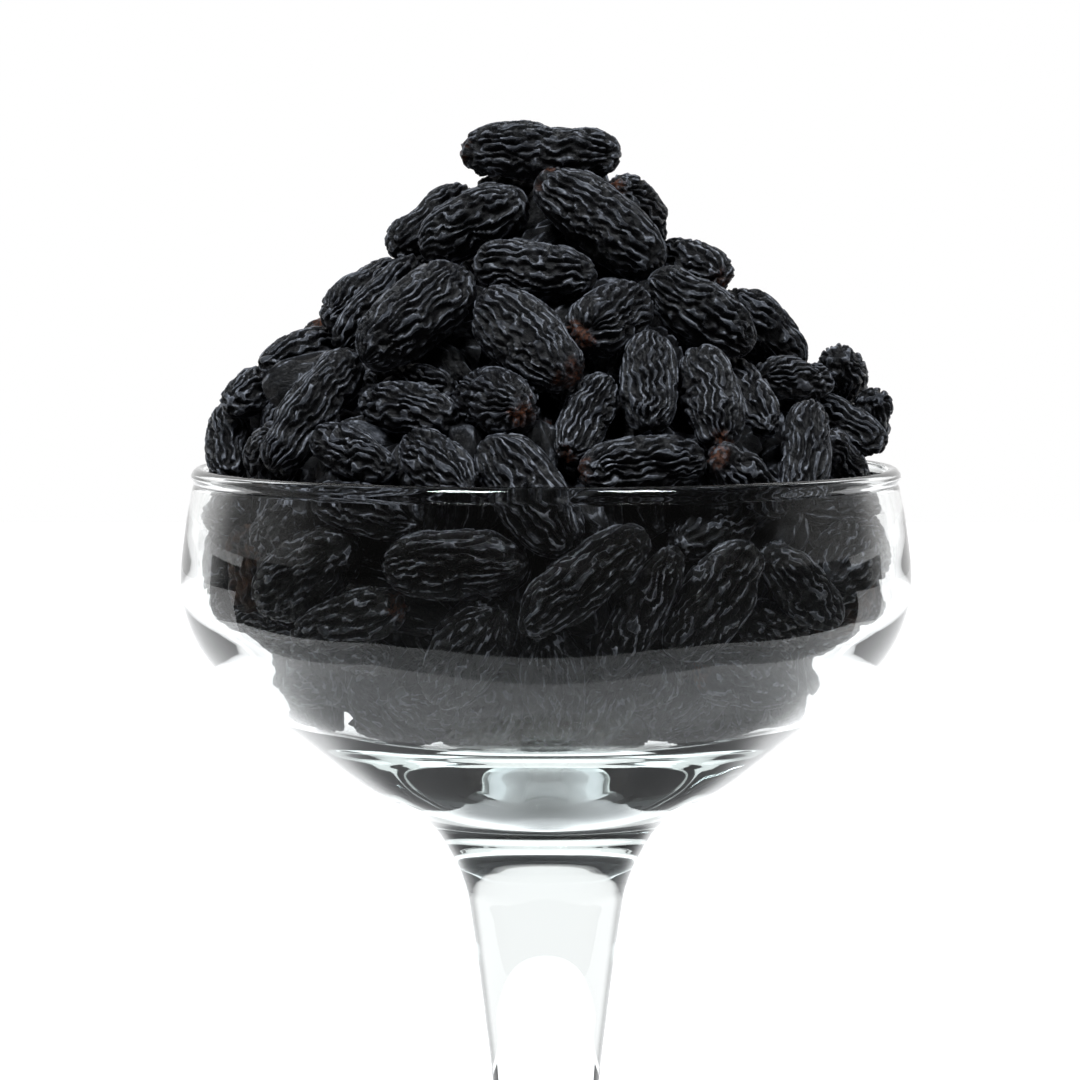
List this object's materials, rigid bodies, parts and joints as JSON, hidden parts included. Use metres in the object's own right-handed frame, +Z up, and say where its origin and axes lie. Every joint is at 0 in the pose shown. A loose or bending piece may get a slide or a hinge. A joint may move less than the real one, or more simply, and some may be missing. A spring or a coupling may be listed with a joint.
{
  "type": "stemmed glass bowl of black raisins",
  "caption": "Clear stemmed glass coupe on a round foot, filled and heaped into a pointed pile with plump wrinkled black raisins.",
  "frame": {"origin": "middle of the foot's underside, where the glass stands on the table", "axes": "+Z up along the stem, -Y towards the viewer of the picture, +X to the viewer's right"},
  "size_m": [0.0976, 0.0976, 0.1654],
  "materials": {
    "clear_glass": "clear polished glass",
    "raisin_skin": "near-black wrinkled skin with a waxy sheen on its ridges"
  },
  "bodies": {
    "root": {"glass_coupe": "clear_glass", "raisins_in_bowl": "raisin_skin", "raisin_01": "raisin_skin", "raisin_02": "raisin_skin", "raisin_03": "raisin_skin", "raisin_04": "raisin_skin", "raisin_05": "raisin_skin", "raisin_06": "raisin_skin", "raisin_07": "raisin_skin", "raisin_08": "raisin_skin", "raisin_09": "raisin_skin", "raisin_10": "raisin_skin", "raisin_11": "raisin_skin", "raisin_12": "raisin_skin", "raisin_13": "raisin_skin", "raisin_14": "raisin_skin", "raisin_15": "raisin_skin", "raisin_16": "raisin_skin", "raisin_17": "raisin_skin", "raisin_18": "raisin_skin", "raisin_19": "raisin_skin", "raisin_20": "raisin_skin", "raisin_21": "raisin_skin", "raisin_22": "raisin_skin", "raisin_23": "raisin_skin", "raisin_24": "raisin_skin", "raisin_25": "raisin_skin", "raisin_26": "raisin_skin", "raisin_27": "raisin_skin", "raisin_28": "raisin_skin", "raisin_29": "raisin_skin", "raisin_30": "raisin_skin", "raisin_31": "raisin_skin", "raisin_32": "raisin_skin", "raisin_33": "raisin_skin", "raisin_34": "raisin_skin", "raisin_35": "raisin_skin", "raisin_36": "raisin_skin", "raisin_37": "raisin_skin", "raisin_38": "raisin_skin", "raisin_39": "raisin_skin", "raisin_40": "raisin_skin", "raisin_41": "raisin_skin", "raisin_42": "raisin_skin", "raisin_43": "raisin_skin", "raisin_44": "raisin_skin", "raisin_45": "raisin_skin", "raisin_46": "raisin_skin", "raisin_47": "raisin_skin", "raisin_48": "raisin_skin", "raisin_49": "raisin_skin", "raisin_50": "raisin_skin", "raisin_51": "raisin_skin", "raisin_52": "raisin_skin", "raisin_53": "raisin_skin", "raisin_54": "raisin_skin"}
  },
  "joints": []
}
